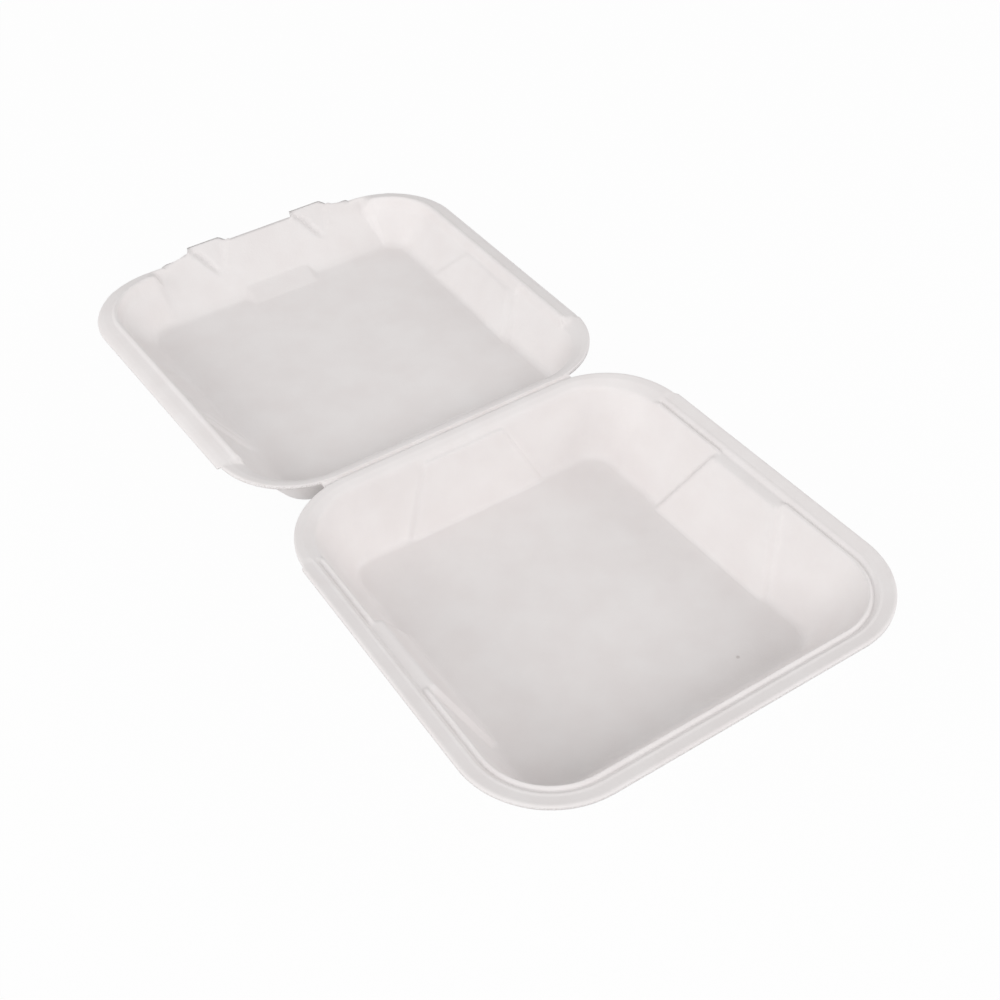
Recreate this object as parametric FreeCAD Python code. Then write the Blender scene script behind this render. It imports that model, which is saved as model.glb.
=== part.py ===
"""Foam food container: a deep base tray and a shallow lid tray joined by a thin folding hinge.

Lengths are millimetres. X runs along the hinge, -Y is the front of the base, +Y is the
far edge of the opened lid, +Z is up and z = 0 is the table under the base.

Both trays are drawn in one tray frame: v runs from the hinge (0) to the snap edge, w is
height above the rim plane (0), and the tray hangs below that plane.
"""
import math
import os

import FreeCAD
import Part

# Plan of the closed container
MID_WIDTH = 235.0
FRONT_SPREAD = 2.1
BASE_LENGTH = 239.0
LID_OVERHANG = 1.0
LID_LENGTH = BASE_LENGTH + LID_OVERHANG
CORNER_RADIUS = 48.0
FOAM = 2.2

# Depths and where each tray meets its floor, measured in from the outline
BASE_DEPTH = 45.0
LID_DEPTH = 26.2
BASE_FLOOR = {"side": 34.7, "far": 39.0, "near": 21.5, "radius": 14.5}
LID_FLOOR = {"side": 30.5, "far": 31.3, "near": 20.0, "radius": 14.0}
WALL_TOP_DEPTH = 4.6
FLOOR_ROUND = 2.4

# Hinge
HINGE_GAP = 1.3
AXIS_LIFT = 0.2
REST_SAG = 1.0
WEB_THICKNESS = 0.8
WEB_DEPTH = 1.4
WEB_HALF_LENGTH = 71.0
WEB_CLEARANCE = 0.1

# Pressed panels in the walls: how far in, and how deep their top shelf lies
BASE_PANELS = {"side": (3.4, 3.6), "near": (2.2, 5.2)}
LID_PANELS = {"side": (1.1, 5.2), "near": (2.2, 5.2)}
PANEL_TOP_HALF = 24.0
PANEL_FOOT_HALF = 43.5
PANEL_FLANK = 1.6
PANEL_FOOT_DROP = 1.0

# Snap flap in the lid's front edge
FLAP_CENTRE = 6.0
FLAP_HALF = 66.0
FLAP_RISE = 1.2
FLAP_CLEARANCE = 0.3
FLAP_LIP = 1.5
FLAP_DEPTH_INWARD = 12.0
CHEEK = 1.6
DROOP_HALF = 48.0
DROOP_LEVEL = -2.2
DROOP_DEPTH = 4.2
WING_HALF = 75.0
WING_TOP = -2.4
WING_RIM = 1.2

# Pleats that stiffen the flap and the ramp at its foot
PLEAT_CENTRE = 9.0
PLEAT_OFFSET = 36.0
PLEAT_TOP_WIDTH = 30.0
PLEAT_FOOT_WIDTH = 6.0
PLEAT_FLANK = 0.11
PLEAT_REACH = 5.2
PLEAT_FOOT_DEPTH = 13.0
PLEAT_ROOT = 9.0
RAMP_CENTRE = 3.5
RAMP_HALF = 21.0
RAMP_RUN = 9.5
RAMP_RISE = 4.4
RAMP_FLARE = 8.0

# Rim sections as (inset from the outline, height above the rim plane)
GROOVE = (10.4, -3.6)
BASE_TOP = [(12.8, -1.9), (11.7, -2.2), GROOVE, (8.8, -1.8), (7.9, -1.1), (6.9, -1.4)]
BASE_TOP += [(2.6, -0.35), (1.4, 0.0)]
BASE_UNDER = [(11.6, -6.2), (9.5, -5.7), (8.4, -4.0), (2.0, -2.7), (0.0, -2.0)]
BASE_EDGE = [(0.0, -0.9), (0.5, -0.2), (1.5, 0.02), (2.9, 3.2)]
LID_TOP = [(13.9, -3.2), (12.8, 0.4), (12.0, 1.8), (10.8, 2.1), (8.9, 0.8), (4.4, -0.2)]
LID_TOP += [(2.2, -1.2), (0.6, -2.2)]
LID_UNDER = [(12.2, -4.4), (11.0, -0.6), (4.6, -2.6), (0.2, -4.4)]
LID_EDGE = [(0.0, -3.3), (0.3, -2.5), (3.0, 3.2)]
PLAIN_TOP = [(13.1, -3.4), (7.0, -0.7), (2.9, 0.0)]
PLAIN_UNDER = [(11.0, -5.4), (4.8, -3.0), (2.1, -2.5), (HINGE_GAP, -1.9)]
PLAIN_EDGE = [(HINGE_GAP, -0.9), (1.8, -0.2), (2.8, 0.02), (4.2, 3.2)]
OPEN_ABOVE = [(-2.0, 1.0), (-8.0, 14.0)]
RIM_INSET = 14.2
NEAR_RIM_RATIO = 0.72
KINK = 44.0

# Rounding where the floor meets the walls, as (height, move inward)
INNER_ROUND = [(0.0, FLOOR_ROUND), (0.3 * FLOOR_ROUND, 0.3 * FLOOR_ROUND), (FLOOR_ROUND, 0.0)]
OUTER_ROUND = [(0.0, 2.4), (0.6, 0.9), (2.0, 0.0)]

# Bounds that reach past the whole tray, for cutting solids apart
FAR_OUT = 200.0
BELOW = -60.0
ABOVE = 20.0

# Snap flap's inner face, straight from the lid's floor to just beyond the base's rim
FLAP_TOP_V = BASE_LENGTH + FLAP_CLEARANCE
FLAP_FOOT_V = LID_LENGTH - LID_FLOOR["far"]
LID_BED = FOAM - LID_DEPTH
FLAP_SLOPE = (FLAP_TOP_V - FLAP_FOOT_V) / -LID_BED
FLAP_SKIN = FOAM * math.hypot(1.0, FLAP_SLOPE)


def half_width(v, length):
    """Half the outline's width at distance v from the hinge."""
    return MID_WIDTH / 2 + FRONT_SPREAD * (2 * v / length - 1)


def flap_v(w):
    """Distance from the hinge of the flap's inner face at height w."""
    return FLAP_TOP_V + FLAP_SLOPE * w


def rounded_loop(points, radii, w):
    """Closed wire through the points at height w, each corner replaced by a tangent arc."""
    corners = []
    count = len(points)
    for i, (x, v) in enumerate(points):
        here = FreeCAD.Vector(x, v, w)
        back = FreeCAD.Vector(*points[i - 1], w) - here
        ahead = FreeCAD.Vector(*points[(i + 1) % count], w) - here
        half_angle = back.getAngle(ahead) / 2
        back.normalize()
        ahead.normalize()
        middle = back + ahead
        middle.normalize()
        reach = radii[i] / math.tan(half_angle)
        bow = radii[i] / math.sin(half_angle) - radii[i]
        corners.append((here + back * reach, here + middle * bow, here + ahead * reach))
    edges = []
    for i, (start, bow, end) in enumerate(corners):
        edges.append(Part.Arc(start, bow, end).toShape())
        edges.append(Part.makeLine(end, corners[(i + 1) % count][0]))
    return Part.Wire(edges)


def ring(length, w, side, far, near, radius):
    """One level of a tray: the outline moved in by the given insets."""
    v_far = length - far
    x_far = half_width(v_far, length) - side
    x_near = half_width(near, length) - side
    points = [(x_far, v_far), (-x_far, v_far), (-x_near, near), (x_near, near)]
    return rounded_loop(points, [radius] * 4, w)


def rim_ring(length, inset, w, near_ratio):
    """A level of the rim, which follows the outline at a constant inset."""
    near = inset * near_ratio if inset > HINGE_GAP else inset
    return ring(length, w, inset, inset, near, CORNER_RADIUS - inset)


def wall_top(key):
    """Inset, or corner radius, of the inner wall where it meets the rim."""
    tops = {"near": RIM_INSET * NEAR_RIM_RATIO, "radius": CORNER_RADIUS - RIM_INSET}
    return tops.get(key, RIM_INSET)


def wall_inset(floor, depth, w, key):
    """Inset of the inner wall at height w, straight from the floor edge to the wall top."""
    t = (w + depth - FOAM) / (depth - FOAM - WALL_TOP_DEPTH)
    return floor[key] + (wall_top(key) - floor[key]) * t


def skin(floor, depth, key):
    """Horizontal thickness of a sloping wall whose true thickness is the foam sheet's."""
    slope = (floor[key] - wall_top(key)) / (depth - FOAM - WALL_TOP_DEPTH)
    return FOAM * math.hypot(1.0, slope)


def wall_ring(length, floor, depth, w, grow, outside):
    """A level of the wall, inner face or outer face, moved in by grow."""
    insets = []
    for key in ("side", "far", "near"):
        out = skin(floor, depth, key) if outside else 0.0
        insets.append(wall_inset(floor, depth, w, key) - out + grow)
    radius = wall_inset(floor, depth, w, "radius") + (skin(floor, depth, "side") if outside else 0.0)
    return ring(length, w, *insets, radius - grow)


def hollow(length, floor, depth, rim):
    """Everything inside and above a tray with the given rim."""
    rows = [(FOAM - depth + rise, grow) for rise, grow in INNER_ROUND] + [(-WALL_TOP_DEPTH, 0.0)]
    rings = [wall_ring(length, floor, depth, w, grow, False) for w, grow in rows]
    rings += [rim_ring(length, inset, w, NEAR_RIM_RATIO) for inset, w in rim]
    rings += [rim_ring(length, inset, w, 1.0) for inset, w in OPEN_ABOVE]
    return Part.makeLoft(rings, True, True)


def block(length, floor, depth, under, edge):
    """A tray's outside as one solid block up to its rim."""
    rows = [(rise - depth, grow) for rise, grow in OUTER_ROUND] + [(-WALL_TOP_DEPTH - FOAM, 0.0)]
    rings = [wall_ring(length, floor, depth, w, grow, True) for w, grow in rows]
    rings += [rim_ring(length, inset, w, NEAR_RIM_RATIO) for inset, w in under + edge]
    return Part.makeLoft(rings, True, True)


def slab(x0, x1, v0, v1, w0=BELOW, w1=ABOVE):
    """Box between the given tray coordinates."""
    return Part.makeBox(x1 - x0, v1 - v0, w1 - w0, FreeCAD.Vector(x0, v0, w0))


def beside_hinge(stepped, plain, change):
    """The stepped solid with the plain one in place of it between the hinge and the change."""
    near = slab(-FAR_OUT, FAR_OUT, -FAR_OUT, change)
    far = slab(-FAR_OUT, FAR_OUT, change, 2 * FAR_OUT)
    return plain.common(near).fuse(stepped.common(far))


def prismatoid(first, second):
    """Solid between two polygons with the same number of corners."""
    wires = [Part.makePolygon([FreeCAD.Vector(*p) for p in loop + loop[:1]]) for loop in (first, second)]
    return Part.makeLoft(wires, True, True)


def panel(length, floor, depth, side, size, outside):
    """Trapezium that presses a wall inward, for the inner or the outer face."""
    inset, shelf = size
    key = "near" if side == "near" else "side"
    out = skin(floor, depth, key) if outside else 0.0
    trim = FOAM / 2 if outside else 0.0
    foot = -depth - PANEL_FOOT_DROP
    top = -shelf - (FOAM if outside else 0.0)
    loops = []
    for grow, flank in ((-PANEL_FOOT_DROP, PANEL_FLANK), (inset, 0.0)):
        loop = []
        for w, half in ((foot, PANEL_FOOT_HALF), (top, PANEL_TOP_HALF)):
            at = wall_inset(floor, depth, w, key) - out + grow
            reach = half + flank - trim
            ends = (-reach, reach) if w == foot else (reach, -reach)
            for along in ends:
                if side == "near":
                    loop.append((along, at, w))
                else:
                    v = length / 2 + along
                    x = half_width(v, length) - at
                    loop.append((x if side == "right" else -x, v, w))
        loops.append(loop)
    return prismatoid(*loops)


def shelf_opening(length, side, shelf):
    """Space over a side panel's shelf, which interrupts the rim's inner shoulder."""
    loops = []
    outer, inner = GROOVE[0], RIM_INSET + 1.0
    for w, grow in ((-shelf, 0.0), (ABOVE, ABOVE / 2)):
        loop = []
        for along, at in ((-1, outer), (1, outer), (1, inner), (-1, inner)):
            v = length / 2 + along * (PANEL_TOP_HALF + grow)
            x = half_width(v, length) - at
            loop.append((x if side == "right" else -x, v, w))
        loops.append(loop)
    return prismatoid(*loops)


def pressed(solid, length, floor, depth, panels, outside):
    """The solid with the three wall panels taken out of it."""
    for side in ("left", "right", "near"):
        size = panels["near" if side == "near" else "side"]
        solid = solid.cut(panel(length, floor, depth, side, size, outside))
    return solid


def tray_solids(length, floor, depth, panels, rim):
    """Outside block and inside hollow of one tray, both with the stepped and plain rim."""
    top, under, edge = rim
    stepped = block(length, floor, depth, under, edge)
    plain = block(length, floor, depth, PLAIN_UNDER, PLAIN_EDGE)
    outside = pressed(beside_hinge(stepped, plain, KINK + FOAM), length, floor, depth, panels, True)
    stepped = hollow(length, floor, depth, top)
    plain = hollow(length, floor, depth, PLAIN_TOP)
    inside = pressed(beside_hinge(stepped, plain, KINK), length, floor, depth, panels, False)
    return outside, inside


def extruded(profile, half):
    """Prism of a (v, w) profile across the flap's middle."""
    loop = [FreeCAD.Vector(FLAP_CENTRE - half, v, w) for v, w in profile]
    face = Part.Face(Part.makePolygon(loop + loop[:1]))
    return face.extrude(FreeCAD.Vector(2 * half, 0, 0))


def behind_flap(top, half):
    """Hollow space behind the flap's inner face, opened upward from the height top."""
    back = FLAP_FOOT_V - FLAP_DEPTH_INWARD
    profile = [(back, LID_BED), (FLAP_FOOT_V - 0.9 * FLOOR_ROUND, LID_BED)]
    profile += [(FLAP_FOOT_V - 0.1 * FLOOR_ROUND, LID_BED + 0.2 * FLOOR_ROUND)]
    profile += [(flap_v(LID_BED + FLOOR_ROUND), LID_BED + FLOOR_ROUND)]
    profile += [(flap_v(top), top), (flap_v(top), ABOVE - 6.0), (back, ABOVE - 6.0)]
    return extruded(profile, half)


def flap_block(limit, top, half):
    """Outside of the flap as a solid wedge that ends at the distance limit and the height top."""
    back = FLAP_FOOT_V - FLAP_DEPTH_INWARD
    foot = flap_v(-LID_DEPTH) + FLAP_SKIN
    rise, ease = OUTER_ROUND[1][0], OUTER_ROUND[0][1]
    bend = (limit - FLAP_SKIN - FLAP_TOP_V) / FLAP_SLOPE
    profile = [(back, -LID_DEPTH), (foot - ease, -LID_DEPTH), (foot + FLAP_SLOPE * rise, rise - LID_DEPTH)]
    profile += [(limit, bend), (limit, top), (back, top)]
    return extruded(profile, half)


def droop(direction):
    """Space over one end of the flap's edge, which slopes down towards its notch."""
    ends = [(DROOP_HALF, FLAP_RISE), (FLAP_HALF, DROOP_LEVEL), (FLAP_HALF, ABOVE), (DROOP_HALF, ABOVE)]
    start = LID_LENGTH - DROOP_DEPTH
    loop = [FreeCAD.Vector(FLAP_CENTRE + direction * x, start, w) for x, w in ends]
    face = Part.Face(Part.makePolygon(loop + loop[:1]))
    return face.extrude(FreeCAD.Vector(0, FAR_OUT, 0))


def pleat(centre, grow):
    """Flute that stands out of the flap, wide at its edge and closing to a point down the wall."""
    levels = []
    foot_v = flap_v(-PLEAT_FOOT_DEPTH)
    rows = [(-PLEAT_FOOT_DEPTH, PLEAT_FOOT_WIDTH, foot_v, foot_v)]
    rows += [(FLAP_RISE, PLEAT_TOP_WIDTH, FLAP_TOP_V, FLAP_TOP_V + PLEAT_REACH)]
    for w, width, wall, crest in rows:
        wide = width / 2 + grow
        narrow = wide - PLEAT_FLANK * width
        root = wide + 1.0
        back = wall - PLEAT_ROOT
        level = [(-root, back), (-narrow, crest + grow), (narrow, crest + grow), (root, back)]
        levels.append([(centre + x, v, w) for x, v in level])
    return prismatoid(*levels)


def ramp(drop):
    """Shallow wedge that fills the corner between the lid's floor and the snap flap."""
    behind = FLAP_FOOT_V + RAMP_FLARE
    front = FLAP_FOOT_V - RAMP_RUN
    crest = flap_v(LID_BED + RAMP_RISE)
    wide = RAMP_HALF + RAMP_FLARE
    low = [(-wide, behind), (-RAMP_HALF, front), (RAMP_HALF, front), (wide, behind)]
    high = [(-RAMP_HALF, behind), (-RAMP_HALF, crest), (RAMP_HALF, crest), (RAMP_HALF, behind)]
    levels = [(low, LID_BED - drop), (high, LID_BED - drop + RAMP_RISE)]
    return prismatoid(*[[(RAMP_CENTRE + x, v, w) for x, v in loop] for loop, w in levels])


def base_tray():
    """Deep tray, placed on the table with its snap edge towards -Y."""
    rim = (BASE_TOP, BASE_UNDER, BASE_EDGE)
    outside, inside = tray_solids(BASE_LENGTH, BASE_FLOOR, BASE_DEPTH, BASE_PANELS, rim)
    for side in ("left", "right"):
        inside = inside.fuse(shelf_opening(BASE_LENGTH, side, BASE_PANELS["side"][1]))
    tray = outside.cut(inside)
    tray = tray.mirror(FreeCAD.Vector(0, 0, 0), FreeCAD.Vector(0, 1, 0))
    tray.translate(FreeCAD.Vector(0, BASE_LENGTH / 2, BASE_DEPTH))
    return tray


def lid_tray():
    """Shallow tray with the snap flap, opened flat beyond the hinge and sagging a little."""
    rim = (LID_TOP, LID_UNDER, LID_EDGE)
    outside, inside = tray_solids(LID_LENGTH, LID_FLOOR, LID_DEPTH, LID_PANELS, rim)
    outside = outside.fuse(flap_block(LID_LENGTH - WING_RIM, -WING_RIM, WING_HALF))
    outside = outside.fuse(flap_block(FLAP_TOP_V + FLAP_LIP, FLAP_RISE, FLAP_HALF))
    inside = inside.fuse(behind_flap(WING_TOP, WING_HALF - CHEEK))
    half = FLAP_HALF - CHEEK
    back = FLAP_FOOT_V - FLAP_DEPTH_INWARD
    inside = inside.cut(slab(FLAP_CENTRE - half, FLAP_CENTRE + half, back, 2 * FAR_OUT))
    inside = inside.fuse(behind_flap(0.0, half))
    for direction in (-1, 1):
        centre = PLEAT_CENTRE + direction * PLEAT_OFFSET
        outside = outside.fuse(pleat(centre, FLAP_LIP)).cut(droop(direction))
        inside = inside.fuse(pleat(centre, 0.0))
    inside = inside.cut(ramp(0.0))
    outside = outside.cut(ramp(FOAM))
    tray = outside.cut(inside)
    tray.translate(FreeCAD.Vector(0, 0, -AXIS_LIFT))
    tray.rotate(FreeCAD.Vector(0, 0, 0), FreeCAD.Vector(1, 0, 0), -REST_SAG)
    tray.translate(FreeCAD.Vector(0, BASE_LENGTH / 2, BASE_DEPTH + AXIS_LIFT))
    return tray


def hinge_web():
    """Thin strip of pressed foam that joins the two rims and folds when the lid closes."""
    depth = HINGE_GAP * 2 - WEB_CLEARANCE
    low = BASE_DEPTH - WEB_DEPTH - WEB_THICKNESS / 2
    corner = FreeCAD.Vector(-WEB_HALF_LENGTH, BASE_LENGTH / 2 - HINGE_GAP, low)
    return Part.makeBox(2 * WEB_HALF_LENGTH, depth, WEB_THICKNESS, corner)


os.makedirs("parts", exist_ok=True)
for name, shape in (("base_tray", base_tray()), ("lid", lid_tray()), ("hinge_web", hinge_web())):
    shape.exportStep(f"parts/{name}.step")
    print(name, "valid", shape.isValid(), "solids", len(shape.Solids), "faces", len(shape.Faces))
    print("   volume in cm3", round(shape.Volume / 1000, 1))
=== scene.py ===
# %% [markdown]
# A foam food container, dressed for its portrait. The container is one pressed sheet of white
# foam: a deep base tray, a shallow lid that folds over it, and a thin hinge between them. The
# frame holds the three solids at their real size. This lesson gives them the soft edges and
# the matte skin that pressed foam has, and then lights and photographs them.

# %% Load the frame
from math import atan, cos, pi, radians, sin, tan

import bpy
from mathutils import Matrix, Vector
from mathutils.kdtree import KDTree


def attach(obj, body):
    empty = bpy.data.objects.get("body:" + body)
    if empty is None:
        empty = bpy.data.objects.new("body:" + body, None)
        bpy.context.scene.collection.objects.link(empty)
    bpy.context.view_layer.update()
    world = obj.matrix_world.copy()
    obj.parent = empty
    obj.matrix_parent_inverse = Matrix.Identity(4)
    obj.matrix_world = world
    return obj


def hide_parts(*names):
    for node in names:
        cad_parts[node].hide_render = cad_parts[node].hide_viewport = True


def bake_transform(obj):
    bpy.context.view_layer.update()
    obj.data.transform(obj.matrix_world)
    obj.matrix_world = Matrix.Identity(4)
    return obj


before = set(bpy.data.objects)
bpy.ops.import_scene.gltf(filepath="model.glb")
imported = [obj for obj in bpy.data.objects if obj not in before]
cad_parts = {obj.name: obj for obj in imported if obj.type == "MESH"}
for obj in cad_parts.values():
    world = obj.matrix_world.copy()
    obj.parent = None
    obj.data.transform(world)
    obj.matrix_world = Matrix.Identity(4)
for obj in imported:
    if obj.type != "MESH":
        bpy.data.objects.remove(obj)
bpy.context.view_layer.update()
bpy.ops.object.select_all(action="DESELECT")
scene = bpy.context.scene
MM = 0.001

# %% [markdown]
# The camera comes first, because everything is judged through it. The container was seen from
# the left, a little over forty degrees up, with the camera held almost level. A camera is easiest
# to think of as a point that it looks at, a direction and a distance, so those are the values
# here. The roll is a small turn about the line of sight.

# %% Place the camera
AZIMUTH = radians(-32.48)
ELEVATION = radians(42.73)
ROLL = radians(-1.89)
DISTANCE = 834.97 * MM
TARGET = Vector((13.98, 96.32, 2.2)) * MM
LENS = 55.07
SENSOR_WIDTH = 36
NEAREST_SEEN = 10 * MM

back = Vector((sin(AZIMUTH) * cos(ELEVATION), -cos(AZIMUTH) * cos(ELEVATION), sin(ELEVATION)))
across = Vector((0, 0, 1)).cross(back).normalized()
up = back.cross(across)
side = across * cos(ROLL) + up * sin(ROLL)
top = up * cos(ROLL) - across * sin(ROLL)
turn = Matrix((side, top, back)).transposed().to_4x4()
camera = bpy.data.objects.new("camera", bpy.data.cameras.new("camera"))
camera.data.lens = LENS
camera.data.sensor_width = SENSOR_WIDTH
camera.data.clip_start = NEAREST_SEEN
camera.matrix_world = Matrix.Translation(TARGET + back * DISTANCE) @ turn
scene.collection.objects.link(camera)
scene.camera = camera
print("camera stands at", [round(v, 3) for v in camera.matrix_world.translation])

# %% [markdown]
# A material is a small network of nodes. Written as Python sums it reads like the thought behind
# it, so one class wraps a node's output and gives it plus, minus and times. Two more methods name
# what foam needs again and again: how far a value has come between two others, and a blend of
# two colours.

# %% A way to write shader maths
class Wire:
    """A node's output that can be added, taken away and multiplied like a number."""

    def __init__(self, tree, socket):
        self.tree = tree
        self.socket = socket

    def node(self, kind, settings=None, inputs=None, output=0):
        """Adds a node, sets it up, feeds its sockets and gives back one of its outputs."""
        made = self.tree.nodes.new(kind)
        for name, value in (settings or {}).items():
            setattr(made, name, value)
        for name, value in (inputs or {}).items():
            if isinstance(value, Wire):
                self.tree.links.new(value.socket, made.inputs[name])
            else:
                made.inputs[name].default_value = value
        return Wire(self.tree, made.outputs[output] if made.outputs else None)

    def maths(self, operation, first, second):
        return self.node("ShaderNodeMath", {"operation": operation}, {0: first, 1: second})

    def __add__(self, other):
        return self.maths("ADD", self, other)

    def __radd__(self, other):
        return self.maths("ADD", other, self)

    def __sub__(self, other):
        return self.maths("SUBTRACT", self, other)

    def __rsub__(self, other):
        return self.maths("SUBTRACT", other, self)

    def __mul__(self, other):
        return self.maths("MULTIPLY", self, other)

    def __rmul__(self, other):
        return self.maths("MULTIPLY", other, self)

    def between(self, low, high):
        """This value's way from low to high, held between nought and one."""
        inputs = {"Value": self, "From Min": low, "From Max": high}
        return self.node("ShaderNodeMapRange", {"clamp": True}, inputs)

    def blend(self, first, second):
        """A colour that is the first where this value is nought and the second where it is one."""
        return self.node("ShaderNodeMix", {"data_type": "RGBA"}, {0: self, 6: first, 7: second}, output=2)


def new_material(name):
    """An empty node material and a wire to start from."""
    material = bpy.data.materials.new(name)
    material.use_nodes = True
    material.node_tree.nodes.clear()
    return material, Wire(material.node_tree, None)


print("a wire knows plus, minus and times, and can blend two colours")

# %% [markdown]
# Pressed foam is white but never flat in tone. Its skin is faintly cloudy, because the beads
# under it are packed more tightly in some places than in others, and it has a fine pebbled
# texture that only shows where light grazes it. A noise makes the clouds, and a Voronoi pattern,
# whose cells look like packed beads, makes the pebbles. The base also has one small pit in its
# floor: it is wherever the distance to one point is short. The relief sinks the pit, and the
# shade inside it is painted in as a darker colour.

# %% The pressed skin
SKIN_LIGHT = (0.855, 0.822, 0.815, 1)
SKIN_CLOUDED = (0.83, 0.79, 0.782, 1)
CLOUDS_PER_M = 45.0
CLOUD_DETAIL = 5.0
CLOUD_LOW, CLOUD_HIGH = 0.35, 0.65
PEBBLES_PER_M = 650.0
GRAINS_PER_M = 1300.0
PEBBLE_SHARE, GRAIN_SHARE = 0.6, 0.4
SKIN_ROUGHNESS = 0.5
CLOUD_ROUGHNESS = 0.12
SKIN_RELIEF = 0.12
RELIEF_HEIGHT = 0.4 * MM
PIT_PLACE = (46.2 * MM, -64.9 * MM, 2.3 * MM)
PIT_RADIUS = 1.3 * MM
PIT_CORE = 0.4
# painted shade: the colour and the share that darken the inside of the pit
PIT_SHADE_COLOUR = (0.5, 0.45, 0.43, 1)
PIT_SHADE_STRENGTH = 0.6
PIT_DEPTH = 2


def skin_material():
    """The pressed face of the foam."""
    material, start = new_material("pressed_skin")
    place = start.node("ShaderNodeTexCoord", output="Object")
    cloud_inputs = {"Vector": place, "Scale": CLOUDS_PER_M, "Detail": CLOUD_DETAIL}
    clouds = start.node("ShaderNodeTexNoise", inputs=cloud_inputs)
    pebbles = start.node("ShaderNodeTexVoronoi", inputs={"Vector": place, "Scale": PEBBLES_PER_M})
    grain = start.node("ShaderNodeTexNoise", inputs={"Vector": place, "Scale": GRAINS_PER_M})
    away = start.node("ShaderNodeVectorMath", {"operation": "DISTANCE"}, {0: place, 1: PIT_PLACE}, output=1)
    pit = 1 - away.between(PIT_RADIUS * PIT_CORE, PIT_RADIUS)
    skin = clouds.between(CLOUD_LOW, CLOUD_HIGH).blend(SKIN_CLOUDED, SKIN_LIGHT)
    # painted shade: the pit's colour is darkened where its own shade would fall
    colour = (pit * PIT_SHADE_STRENGTH).blend(skin, PIT_SHADE_COLOUR)
    height = pebbles * PEBBLE_SHARE + grain * GRAIN_SHARE - pit * PIT_DEPTH
    relief = {"Height": height, "Strength": SKIN_RELIEF, "Distance": RELIEF_HEIGHT}
    bump = start.node("ShaderNodeBump", inputs=relief)
    rough = SKIN_ROUGHNESS + clouds * CLOUD_ROUGHNESS
    finish = {"Base Color": colour, "Roughness": rough, "Normal": bump}
    foam = start.node("ShaderNodeBsdfPrincipled", inputs=finish)
    start.node("ShaderNodeOutputMaterial", inputs={"Surface": foam})
    return material


pressed_skin = skin_material()
print("material:", pressed_skin.name, "with", len(pressed_skin.node_tree.nodes), "nodes")

# %% [markdown]
# The rim was cut through after pressing, so there the open cells show as tiny light and dark
# flecks. The same Voronoi pattern, twice as fine, gives both the flecks and their relief. The cut
# is rougher than the skin.

# %% The cut edge
CELL_LIGHT = (0.9, 0.87, 0.865, 1)
CELL_DARK = (0.76, 0.72, 0.71, 1)
CELLS_PER_M = 1300.0
CELL_WALL, CELL_HOLLOW = 0.25, 0.75
CUT_RELIEF = 0.5
CUT_ROUGHNESS = 0.8


def cut_material():
    """The cut edge, where the cells lie open."""
    material, start = new_material("cut_foam")
    place = start.node("ShaderNodeTexCoord", output="Object")
    cells = start.node("ShaderNodeTexVoronoi", inputs={"Vector": place, "Scale": CELLS_PER_M})
    colour = cells.between(CELL_WALL, CELL_HOLLOW).blend(CELL_LIGHT, CELL_DARK)
    relief = {"Height": cells, "Strength": CUT_RELIEF, "Distance": RELIEF_HEIGHT}
    bump = start.node("ShaderNodeBump", inputs=relief)
    finish = {"Base Color": colour, "Roughness": CUT_ROUGHNESS, "Normal": bump}
    foam = start.node("ShaderNodeBsdfPrincipled", inputs=finish)
    start.node("ShaderNodeOutputMaterial", inputs={"Surface": foam})
    return material


cut_foam = cut_material()
print("material:", cut_foam.name, "with", len(cut_foam.node_tree.nodes), "nodes")

# %% [markdown]
# The solids that came with the frame are exact but their edges are sharp, and pressed foam has no
# sharp edge anywhere. The foam is really one even sheet that was heated and pressed over a mould,
# and the lesson makes it the same way. A flat sheet with the outline of a tray is cut into fine
# rings that follow the rim, and then pressed onto the solid from above. A second sheet is pressed
# onto it from below, and the two are joined along the edge.
#
# An outline with round corners could be drawn point by point. It is less work to add a plane,
# give it its taper, and bevel its four corners. Insetting the one face again and again then
# makes ring after ring at an even distance, because an inset keeps parallel to its edge.

# %% Cut an even sheet
NEAR_HALF = 115.4 * MM
FAR_HALF = 119.6 * MM
CORNER = 48 * MM
HINGE_Y = 119.5 * MM
MARGIN = 0.12 * MM
ARC_STEPS = 48
SIDE_CUTS = 150
RIM_STEPS, RIM_STEP = 26, 0.55 * MM
WALL_STEPS, WALL_STEP = 30, 0.96 * MM


def pick(obj, test):
    """Enters edit mode with only the vertices selected whose place passes the test."""
    bpy.ops.object.mode_set(mode="EDIT")
    bpy.ops.mesh.select_mode(type="VERT")
    bpy.ops.mesh.select_all(action="DESELECT")
    bpy.ops.object.mode_set(mode="OBJECT")
    for vertex in obj.data.vertices:
        vertex.select = test(vertex.co)
    bpy.ops.object.mode_set(mode="EDIT")


def tray_outline(name, length, towards, height):
    """A flat face with a tray's outline, a little wider away from the hinge."""
    middle = Vector((0, HINGE_Y + towards * length / 2, height))
    width = 2 * (NEAR_HALF - MARGIN)
    bpy.ops.object.select_all(action="DESELECT")
    bpy.ops.mesh.primitive_plane_add(size=1, location=middle)
    sheet = bpy.context.object
    sheet.name = name
    bpy.ops.object.transform_apply(location=True)
    bpy.ops.object.mode_set(mode="EDIT")
    bpy.ops.mesh.select_all(action="SELECT")
    bpy.ops.transform.resize(value=(width, length - 2 * MARGIN, 1), center_override=middle)
    pick(sheet, lambda co: (co.y - middle.y) * towards > 0)
    bpy.ops.transform.resize(value=(FAR_HALF / NEAR_HALF, 1, 1), center_override=middle)
    lean = atan((FAR_HALF - NEAR_HALF) / length)
    for end in (1, -1):
        pick(sheet, lambda co: (co.y - middle.y) * towards * end > length / 2 - CORNER / 2)
        reach = (CORNER - MARGIN) / tan(pi / 4 - end * lean / 2)
        bpy.ops.mesh.bevel(offset=reach, affect="VERTICES", segments=ARC_STEPS, profile=0.5)
    return sheet


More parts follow.
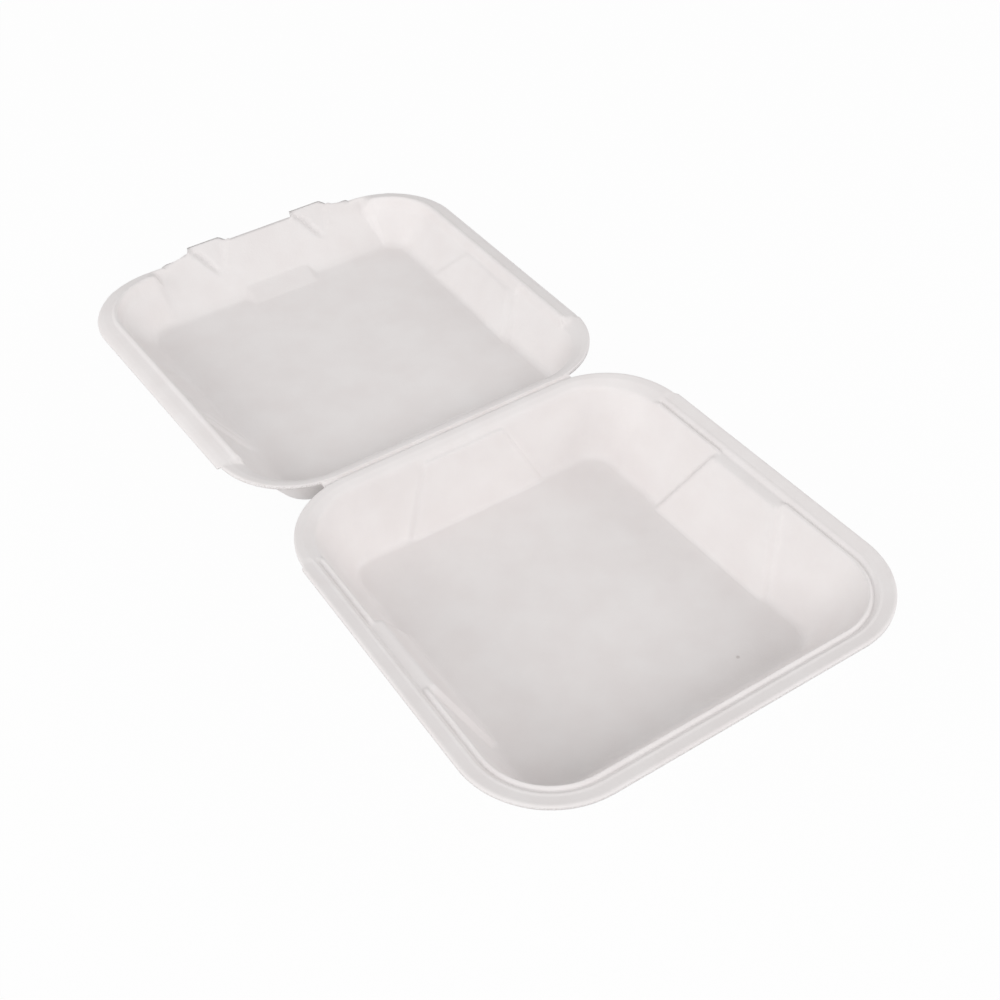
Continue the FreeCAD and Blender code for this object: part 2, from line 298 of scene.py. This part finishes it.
def even_sheet(name, length, towards, height):
    """A tray's outline, its long sides divided and its face cut into rings."""
    sheet = tray_outline(name, length, towards, height)
    bpy.ops.mesh.select_all(action="SELECT")
    bpy.ops.mesh.delete(type="ONLY_FACE")
    bpy.ops.mesh.select_mode(type="EDGE")
    bpy.ops.mesh.select_all(action="DESELECT")
    bpy.ops.object.mode_set(mode="OBJECT")
    points = sheet.data.vertices
    for edge in sheet.data.edges:
        a, b = edge.vertices
        edge.select = (points[a].co - points[b].co).length > CORNER
    bpy.ops.object.mode_set(mode="EDIT")
    bpy.ops.mesh.subdivide(number_cuts=SIDE_CUTS)
    bpy.ops.mesh.select_all(action="SELECT")
    bpy.ops.mesh.edge_face_add()
    bpy.ops.mesh.select_mode(type="FACE")
    bpy.ops.mesh.select_all(action="SELECT")
    for step in [RIM_STEP] * RIM_STEPS + [WALL_STEP] * WALL_STEPS:
        bpy.ops.mesh.inset(thickness=step, depth=0, use_even_offset=True)
    bpy.ops.object.mode_set(mode="OBJECT")
    print(name, "is cut into", len(sheet.data.polygons), "faces")
    return sheet


# %% [markdown]
# Every later step asks where on a tray a point lies, so one function answers it in the terms of
# the tray: how far inside the outline, how far from the hinge, and which way is out. In a
# straight stretch the way out is sideways, and in a round corner it points away from the
# corner's centre.

# %% Find a place on a tray
def inward(co, length, towards):
    """How far a point lies inside the outline, its distance from the hinge, and the way out."""
    v = (co.y - HINGE_Y) * towards
    half = NEAR_HALF + (FAR_HALF - NEAR_HALF) * v / length
    core_x = max(CORNER - half, min(half - CORNER, co.x))
    core_v = max(CORNER, min(length - CORNER, v))
    out = Vector((co.x - core_x, (v - core_v) * towards, 0))
    return CORNER - out.length, v, out.normalized()


TRAYS = {
    "base_tray": {"length": 239 * MM, "towards": -1, "body": "base"},
    "lid": {"length": 239.95 * MM, "towards": 1, "body": "lid"},
}
print("trays to press:", ", ".join(TRAYS))

# %% [markdown]
# The outline isn't the same all round. Beside the hinge the rim is a little narrower, and along
# the lid's front the sheet reaches out into the snap flap with its two pleats. Both are small
# moves of the outer rings that fade out further in, so a rule that reads each point's distance
# from the edge places them best. A pleat climbs at once on its left and falls away gently on its
# right.

# %% Follow the hinge and the flap
KINK = 46.2 * MM
KINK_STEP, KINK_FADE = 1.3 * MM, 8 * MM
FLAP_CENTRE, FLAP_HALF, FLAP_FADE = 6 * MM, 66 * MM, 14 * MM
FLAP_SETBACK, FLAP_LIP = 0.7 * MM, 1.5 * MM
PLEATS = (-27 * MM, 45 * MM)
PLEAT_HALF, PLEAT_REACH = 14 * MM, 5.2 * MM
PLEAT_CLIMB, PLEAT_FALL = 2.2 * MM, 8 * MM


def pleat_share(x, grow):
    """One on a pleat's crest, nought beside it, with soft shoulders."""
    beside = min((x - centre for centre in PLEATS), key=abs)
    climb = (PLEAT_HALF + grow + beside) / PLEAT_CLIMB
    fall = (PLEAT_HALF + grow - beside) / PLEAT_FALL
    share = max(0.0, min(1.0, climb, fall))
    return share * share * (3 - 2 * share)


def follow_outline(sheet, length, towards, lip):
    """Draws the rim in beside the hinge and out into the flap, further by a lip underneath."""
    for vertex in sheet.data.vertices:
        inset, v, out = inward(vertex.co, length, towards)
        if v < KINK and inset < KINK_FADE:
            vertex.co -= out * KINK_STEP * (1 - inset / KINK_FADE)
        in_flap = towards > 0 and abs(vertex.co.x - FLAP_CENTRE) < FLAP_HALF
        if in_flap and length - v < FLAP_FADE:
            reach = lip - FLAP_SETBACK + PLEAT_REACH * pleat_share(vertex.co.x, lip)
            vertex.co.y += reach * (1 - (length - v) / FLAP_FADE)


print("the flap reaches out", round(PLEAT_REACH / MM, 1), "mm at each of", len(PLEATS), "pleats")

# %% [markdown]
# The Shrinkwrap modifier does the pressing. It moves each point straight down, or up, until it
# meets the solid. A few points right on the edge can miss the solid altogether. They take the
# height of the nearest point that met it, and then snap to the surface. The Smooth modifier
# rounds what was a sharp edge, as warm foam would. The outermost ring is left out of the
# smoothing so that the tray keeps its size.

# %% Press a sheet
CLEAR_ABOVE = 70 * MM
CLEAR_BELOW = -10 * MM
RIM_HEIGHT = 45 * MM
NEAR_POINTS = 8
SOFTENING, SOFTENING_ROUNDS = 0.5, 2


def apply_modifier(sheet, modifier):
    """Makes a modifier's work a part of the mesh."""
    bpy.context.view_layer.objects.active = sheet
    bpy.ops.object.modifier_apply(modifier=modifier.name)


def soften(sheet, indices, rounds):
    """Smooths the given points and leaves the others where they are."""
    group = sheet.vertex_groups.new(name="soft")
    group.add(indices, 1.0, "REPLACE")
    smooth = sheet.modifiers.new("soften", "SMOOTH")
    smooth.vertex_group = group.name
    smooth.factor = SOFTENING
    smooth.iterations = rounds
    apply_modifier(sheet, smooth)


def catch_missed(sheet, node, start):
    """Brings the points that are still at their starting height onto the solid."""
    points = sheet.data.vertices
    missed = [v.index for v in points if abs(v.co.z - start) < MM]
    met = KDTree(len(points))
    for vertex in points:
        if vertex.index not in missed:
            met.insert(vertex.co, vertex.index)
    met.balance()
    for i in missed:
        flat = points[i].co
        found = [place for place, _, _ in met.find_n((flat.x, flat.y, RIM_HEIGHT), NEAR_POINTS)]
        flat.z = min(found, key=lambda place: (place.xy - flat.xy).length).z
    stray = sheet.vertex_groups.new(name="stray")
    stray.add(missed, 1.0, "REPLACE")
    snap = sheet.modifiers.new("snap", "SHRINKWRAP")
    snap.target = node
    snap.vertex_group = stray.name
    apply_modifier(sheet, snap)
    print(sheet.name, "pressed, points that missed:", len(missed))


def press(sheet, node, from_above, edge_points):
    """Presses a sheet onto a solid and softens all of it but its outermost ring."""
    wrap = sheet.modifiers.new("press", "SHRINKWRAP")
    wrap.target = node
    wrap.wrap_method = "PROJECT"
    wrap.use_project_z = True
    wrap.use_negative_direction = from_above
    wrap.use_positive_direction = not from_above
    apply_modifier(sheet, wrap)
    catch_missed(sheet, node, CLEAR_ABOVE if from_above else CLEAR_BELOW)
    inner = [v.index for v in sheet.data.vertices if v.index not in edge_points]
    soften(sheet, inner, SOFTENING_ROUNDS)


# %% [markdown]
# Along the hinge the base's rim stays level for a few millimetres and then drops over a crisp
# narrow facet to the wall. It is the brightest line on the real container. The rings there only
# need a small lift that grows towards the facet's upper edge, is gone at its foot, and fades out
# in the two corners.

# %% Square up the rim at the hinge
FACET_TOP, FACET_FOOT, FACET_LIFT = 8 * MM, 13.4 * MM, 1.0 * MM
FACET_END, FACET_END_FADE = 76 * MM, 16 * MM


def square_up_rim(sheet, length, towards):
    """Lifts the rim beside the hinge so that it ends in a crisp edge."""
    for vertex in sheet.data.vertices:
        inset, v, _ = inward(vertex.co, length, towards)
        if v < FACET_FOOT + CORNER / 2 and inset < FACET_FOOT:
            grown = min(inset / FACET_TOP, (FACET_FOOT - inset) / (FACET_FOOT - FACET_TOP))
            to_end = FACET_END + FACET_END_FADE - abs(vertex.co.x)
            along = max(0.0, min(1.0, to_end / FACET_END_FADE))
            vertex.co.z += FACET_LIFT * grown * along


print("the facet drops", round((FACET_FOOT - FACET_TOP) / MM, 1), "mm further in")

# %% [markdown]
# The lid's front is one long flap that keeps rising past the rim, and it droops at both ends. Its
# cut edge is lifted along the slope for that, less and less where the droop begins. The wall
# under it runs into the two corners with no crease, so the ends of the wall are softened far more
# than the rest.

# %% Shape the lid's front
FLAP_BEGINS = 200 * MM
EDGE_RISE = 0.9 * MM
DROOP_START, DROOP_RATE, FLAP_RISE = 48 * MM, 3.4 / 18, 1.2 * MM
WALL_END, WALL_END_HALF, WALL_END_ROUNDS = 74 * MM, 13 * MM, 16
RIM_CLEAR, WALL_FOOT_INSET = 3 * MM, 36 * MM


def raise_flap_edge(sheet, edge_points):
    """The flap's edge carries on up the slope of the flap, less where the edge droops."""
    for i in edge_points:
        co = sheet.data.vertices[i].co
        beside = abs(co.x - FLAP_CENTRE)
        droop = FLAP_RISE - max(0.0, beside - DROOP_START) * DROOP_RATE
        if co.y > HINGE_Y + FLAP_BEGINS and droop > 0:
            rise = min(EDGE_RISE, droop) * (1 - pleat_share(co.x, 0))
            co.y += rise
            co.z += rise


def soften_front_wall(sheet, length, towards):
    """The ends of the lid's front wall run into the corners with no crease."""
    ends = []
    for vertex in sheet.data.vertices:
        inset, v, _ = inward(vertex.co, length, towards)
        beside = abs(abs(vertex.co.x - FLAP_CENTRE) - WALL_END)
        in_wall = RIM_CLEAR < inset < WALL_FOOT_INSET and v > length - CORNER
        if in_wall and beside < WALL_END_HALF:
            ends.append(vertex.index)
    soften(sheet, ends, WALL_END_ROUNDS)


print("the flap's edge rises", round(EDGE_RISE / MM, 1), "mm before it droops")

# %% [markdown]
# Two finer marks are left in the lid. Each side wall steps in by a couple of millimetres along a
# slanted line near the hinge, which catches the light as a thin bright stripe, and eases back out
# beyond it. Each pleat has a sunken crease down its left side and a proud one down its right, and
# both run towards the pleat's foot. A crease is a tent-shaped push, strongest on its line and gone
# a few millimetres beside it.

# %% Step the lid's walls and crease its pleats
STEP_TOP_INSET, STEP_TOP_HALF, STEP_FOOT_HALF = 12.5 * MM, 30 * MM, 51.5 * MM
STEP_PUSH, STEP_FLANK, STEP_EASE = 2.2 * MM, 1.5 * MM, 45 * MM
STEP_TOP_FADE, STEP_FOOT_FADE = 1 / 10, 1 / 6
CREASES = (
    {"top": -13.4 * MM, "foot": -1.0 * MM, "push": -2.0 * MM, "half": 2.6 * MM},
    {"top": 13.0 * MM, "foot": 2.5 * MM, "push": 0.8 * MM, "half": 2.0 * MM},
)
CREASE_DEPTH, CREASE_EDGE_FADE, CREASE_FOOT_FADE = 16 * MM, 3 * MM, 1 / 4
INTO_LID = Vector((0, -1, 1)).normalized()


def step_side_walls(sheet, length, towards):
    """The lid's side walls step in along a crisp slanted line and ease back out beyond it."""
    for vertex in sheet.data.vertices:
        inset, v, _ = inward(vertex.co, length, towards)
        depth = (inset - STEP_TOP_INSET) / (WALL_FOOT_INSET - STEP_TOP_INSET)
        half = STEP_TOP_HALF + (STEP_FOOT_HALF - STEP_TOP_HALF) * depth
        beyond = v - length / 2 + half
        if 0 < depth < 1 and 0 < beyond < STEP_EASE:
            share = min(1.0, beyond / STEP_FLANK, depth / STEP_TOP_FADE, (1 - depth) / STEP_FOOT_FADE)
            share *= 1 - beyond / STEP_EASE
            vertex.co.x -= STEP_PUSH * share * (1 if vertex.co.x > 0 else -1)


def crease_pleats(sheet, length, towards):
    """Each of the flap's pleats has a sunken crease on its left and a proud one on its right."""
    for vertex in sheet.data.vertices:
        inset, v, _ = inward(vertex.co, length, towards)
        down = max(0.0, (RIM_HEIGHT - vertex.co.z) / CREASE_DEPTH)
        if v < length - CORNER or down > 1:
            continue
        fade = max(0.0, min(1.0, 1 + inset / CREASE_EDGE_FADE, (1 - down) / CREASE_FOOT_FADE))
        for centre in PLEATS:
            for crease in CREASES:
                line = centre + crease["top"] + (crease["foot"] - crease["top"]) * down
                share = max(0.0, 1 - abs(vertex.co.x - line) / crease["half"])
                vertex.co += INTO_LID * crease["push"] * share * fade


print("creases pressed into the pleats:", len(PLEATS) * len(CREASES))

# %% [markdown]
# Now both trays are made. Two copies of a sheet are pressed, one from above and one from below,
# and each gets its tray's own details. The lower one is turned over, the two are joined, and a
# bridge between their outer rings closes the edge. The bridge is the cut through the foam, so its
# faces take the second material. Beside the hinge the foam wasn't cut but pressed, so there they
# keep the skin.

# %% Press both trays
def join_halves(upper, lower):
    """Turns the lower sheet over, joins it on, closes the edge and returns the edge's faces."""
    bpy.ops.object.select_all(action="DESELECT")
    lower.select_set(True)
    bpy.context.view_layer.objects.active = lower
    bpy.ops.object.mode_set(mode="EDIT")
    bpy.ops.mesh.select_all(action="SELECT")
    bpy.ops.mesh.flip_normals()
    bpy.ops.object.mode_set(mode="OBJECT")
    upper.select_set(True)
    bpy.context.view_layer.objects.active = upper
    bpy.ops.object.join()
    bpy.ops.object.mode_set(mode="EDIT")
    bpy.ops.mesh.select_mode(type="EDGE")
    bpy.ops.mesh.select_all(action="DESELECT")
    bpy.ops.mesh.select_non_manifold(use_wire=False, use_multi_face=False, use_non_contiguous=False)
    bpy.ops.mesh.bridge_edge_loops()
    bpy.ops.object.mode_set(mode="OBJECT")
    cut_edge = [face.index for face in upper.data.polygons if face.select]
    bpy.ops.object.mode_set(mode="EDIT")
    bpy.ops.mesh.select_all(action="SELECT")
    bpy.ops.mesh.normals_make_consistent(inside=False)
    bpy.ops.object.mode_set(mode="OBJECT")
    bpy.ops.object.shade_smooth()
    return cut_edge


def pressed_tray(node_name, length, towards, body):
    """A tray of even foam that takes the place of its solid and rides on its body."""
    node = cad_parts[node_name]
    upper = even_sheet(node_name + "_foam", length, towards, CLEAR_ABOVE)
    edge_points = {
        v.index for v in upper.data.vertices if inward(v.co, length, towards)[0] < RIM_STEP / 2 + MARGIN
    }
    bpy.ops.object.duplicate()
    lower = bpy.context.object
    for vertex in lower.data.vertices:
        vertex.co.z = CLEAR_BELOW
    follow_outline(upper, length, towards, 0)
    follow_outline(lower, length, towards, FLAP_LIP)
    press(upper, node, True, edge_points)
    press(lower, node, False, edge_points)
    if node_name == "lid":
        raise_flap_edge(upper, edge_points)
        steps = (soften_front_wall, step_side_walls, crease_pleats)
    else:
        steps = (square_up_rim,)
    for step in steps:
        for half in (upper, lower):
            step(half, length, towards)
    cut_edge = join_halves(upper, lower)
    upper.data.materials.clear()
    upper.data.materials.append(pressed_skin)
    upper.data.materials.append(cut_foam)
    for i in cut_edge:
        if abs(upper.data.polygons[i].center.y - HINGE_Y) > 2 * KINK_STEP:
            upper.data.polygons[i].material_index = 1
    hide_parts(node_name)
    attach(upper, body)
    triangles = sum(len(face.vertices) - 2 for face in upper.data.polygons)
    print(upper.name, "has", triangles, "triangles")


for name, size in TRAYS.items():
    pressed_tray(name, **size)

# %% [markdown]
# The hinge isn't a separate part on the real container. It is a line where the same foam was
# pressed thin between the two rims, so that it folds. A narrow grid makes it: its middle rows sink
# into a shallow valley, which is what shows as a dark line, and its ends spread to follow the two
# round corners. A Solidify modifier gives the skin its thickness. The strip is tied to neither
# body, so it stays where it is when the lid turns.

# %% Press the hinge
FOLD_HALF = 78 * MM
FOLD_EDGE, FOLD_TUCK = 1.3 * MM, 0.5 * MM
FOLD_HEIGHT, FOLD_VALLEY, FOLD_SKIN = 44.3 * MM, 1.1 * MM, 0.8 * MM
FOLD_ROWS, FOLD_COLUMNS = 12, 104
FOLD_SHARP = radians(40)
ARC_START = NEAR_HALF - CORNER


def hinge_fold():
    """A thin strip with a valley along it, whose ends follow the round corners."""
    middle = (0, HINGE_Y, FOLD_HEIGHT)
    bpy.ops.object.select_all(action="DESELECT")
    bpy.ops.mesh.primitive_grid_add(
        x_subdivisions=FOLD_COLUMNS, y_subdivisions=FOLD_ROWS, size=1, location=middle
    )
    fold = bpy.context.object
    fold.name = "hinge_fold"
    bpy.ops.object.transform_apply(location=True)
    bpy.ops.object.mode_set(mode="EDIT")
    bpy.ops.mesh.select_all(action="SELECT")
    bpy.ops.transform.resize(value=(2 * FOLD_HALF, 2 * FOLD_EDGE, 1), center_override=middle)
    bpy.ops.object.mode_set(mode="OBJECT")
    for vertex in fold.data.vertices:
        aside = (vertex.co.y - HINGE_Y) / FOLD_EDGE
        into_corner = max(0.0, abs(vertex.co.x) - ARC_START)
        spread = FOLD_TUCK + CORNER - (CORNER**2 - into_corner**2) ** 0.5
        vertex.co.y += spread * aside
        vertex.co.z -= FOLD_VALLEY * (1 - aside * aside)
    thickness = fold.modifiers.new("skin", "SOLIDIFY")
    thickness.thickness = FOLD_SKIN
    thickness.offset = -1
    apply_modifier(fold, thickness)
    bpy.ops.object.shade_smooth_by_angle(angle=FOLD_SHARP)
    fold.data.materials.clear()
    fold.data.materials.append(pressed_skin)
    return fold


fold = hinge_fold()
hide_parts("hinge_web")
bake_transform(fold)
print(fold.name, "has", len(fold.data.polygons), "faces")

# %% [markdown]
# The container was photographed as a cut-out on white. The floor keeps a faint shadow, and to the
# camera it is otherwise nearly white: a Light Path node tells the rays that look at it from the
# rays that light the foam. The share of white is just under one, so a little shadow is left.

# %% Floor
FLOOR_SIZE = 12
FLOOR_DROP = 0.2 * MM
FLOOR_GREY = (0.8, 0.8, 0.8, 1)
WHITE = (1, 1, 1, 1)
FLOOR_SHOWN = 0.96


def looking_ray(start):
    """One for a ray that looks at a thing, straight on or mirrored, and nought for other rays."""
    path = start.node("ShaderNodeLightPath").socket.node
    straight = Wire(start.tree, path.outputs["Is Camera Ray"])
    mirrored = Wire(start.tree, path.outputs["Is Glossy Ray"])
    passing = Wire(start.tree, path.outputs["Is Transmission Ray"])
    return straight + mirrored + passing


def floor_material():
    """Grey to the light, nearly white to the camera."""
    material, start = new_material("white_floor")
    matte = start.node("ShaderNodeBsdfDiffuse", inputs={"Color": FLOOR_GREY})
    glow = start.node("ShaderNodeEmission", inputs={"Color": WHITE, "Strength": 1.0})
    inputs = {0: looking_ray(start) * FLOOR_SHOWN, 1: matte, 2: glow}
    mixed = start.node("ShaderNodeMixShader", inputs=inputs)
    start.node("ShaderNodeOutputMaterial", inputs={"Surface": mixed})
    return material


bpy.ops.mesh.primitive_plane_add(size=FLOOR_SIZE, location=(0, 0, -FLOOR_DROP))
floor = bpy.context.object
floor.name = "floor"
floor.data.materials.append(floor_material())
print("floor is", tuple(round(side, 1) for side in floor.dimensions), "metres")

# %% [markdown]
# The light is soft and even, as in a light tent. About half of it comes from all around. A large
# soft box in front, high up and a good way off, brightens the walls that face it, and two weaker
# ones stand low on the left and on the right, where each lights the walls across from it. A pale
# object shows its form only by small steps in tone, so no lamp stands overhead, where it would
# fill the floors of the trays as brightly as their walls. To the camera the sky is plain white.

# %% Light
SKY_STRENGTH = 0.515
LIT_POINT = Vector((0, 0.12, 0.02))
SOFTBOXES = {
    "front_softbox": {"place": (-1.3, -2.8, 2.2), "size": 1.8, "power": 42},
    "left_softbox": {"place": (-1.6, 0.45, 0.7), "size": 1.0, "power": 9.5},
    "right_softbox": {"place": (1.5, -0.9, 0.9), "size": 1.0, "power": 9},
}


def white_sky():
    """A world that lights the foam softly and looks white."""
    world = bpy.data.worlds.new("studio")
    world.use_nodes = True
    world.node_tree.nodes.clear()
    start = Wire(world.node_tree, None)
    sky = start.node("ShaderNodeBackground", inputs={"Color": WHITE, "Strength": SKY_STRENGTH})
    white = start.node("ShaderNodeBackground", inputs={"Color": WHITE, "Strength": 1.0})
    mixed = start.node("ShaderNodeMixShader", inputs={0: looking_ray(start), 1: sky, 2: white})
    start.node("ShaderNodeOutputWorld", inputs={"Surface": mixed})
    return world


def area_light(name, place, size, power):
    """A square soft box that faces the middle of the container."""
    lamp = bpy.data.objects.new(name, bpy.data.lights.new(name, "AREA"))
    lamp.data.shape = "SQUARE"
    lamp.data.size = size
    lamp.data.energy = power
    lamp.location = place
    aim = LIT_POINT - lamp.location
    lamp.rotation_euler = aim.to_track_quat("-Z", "Y").to_euler()
    scene.collection.objects.link(lamp)
    print(name, "gives", power, "watts")


scene.world = white_sky()
for name, box in SOFTBOXES.items():
    area_light(name, **box)
scene.view_settings.view_transform = "Standard"
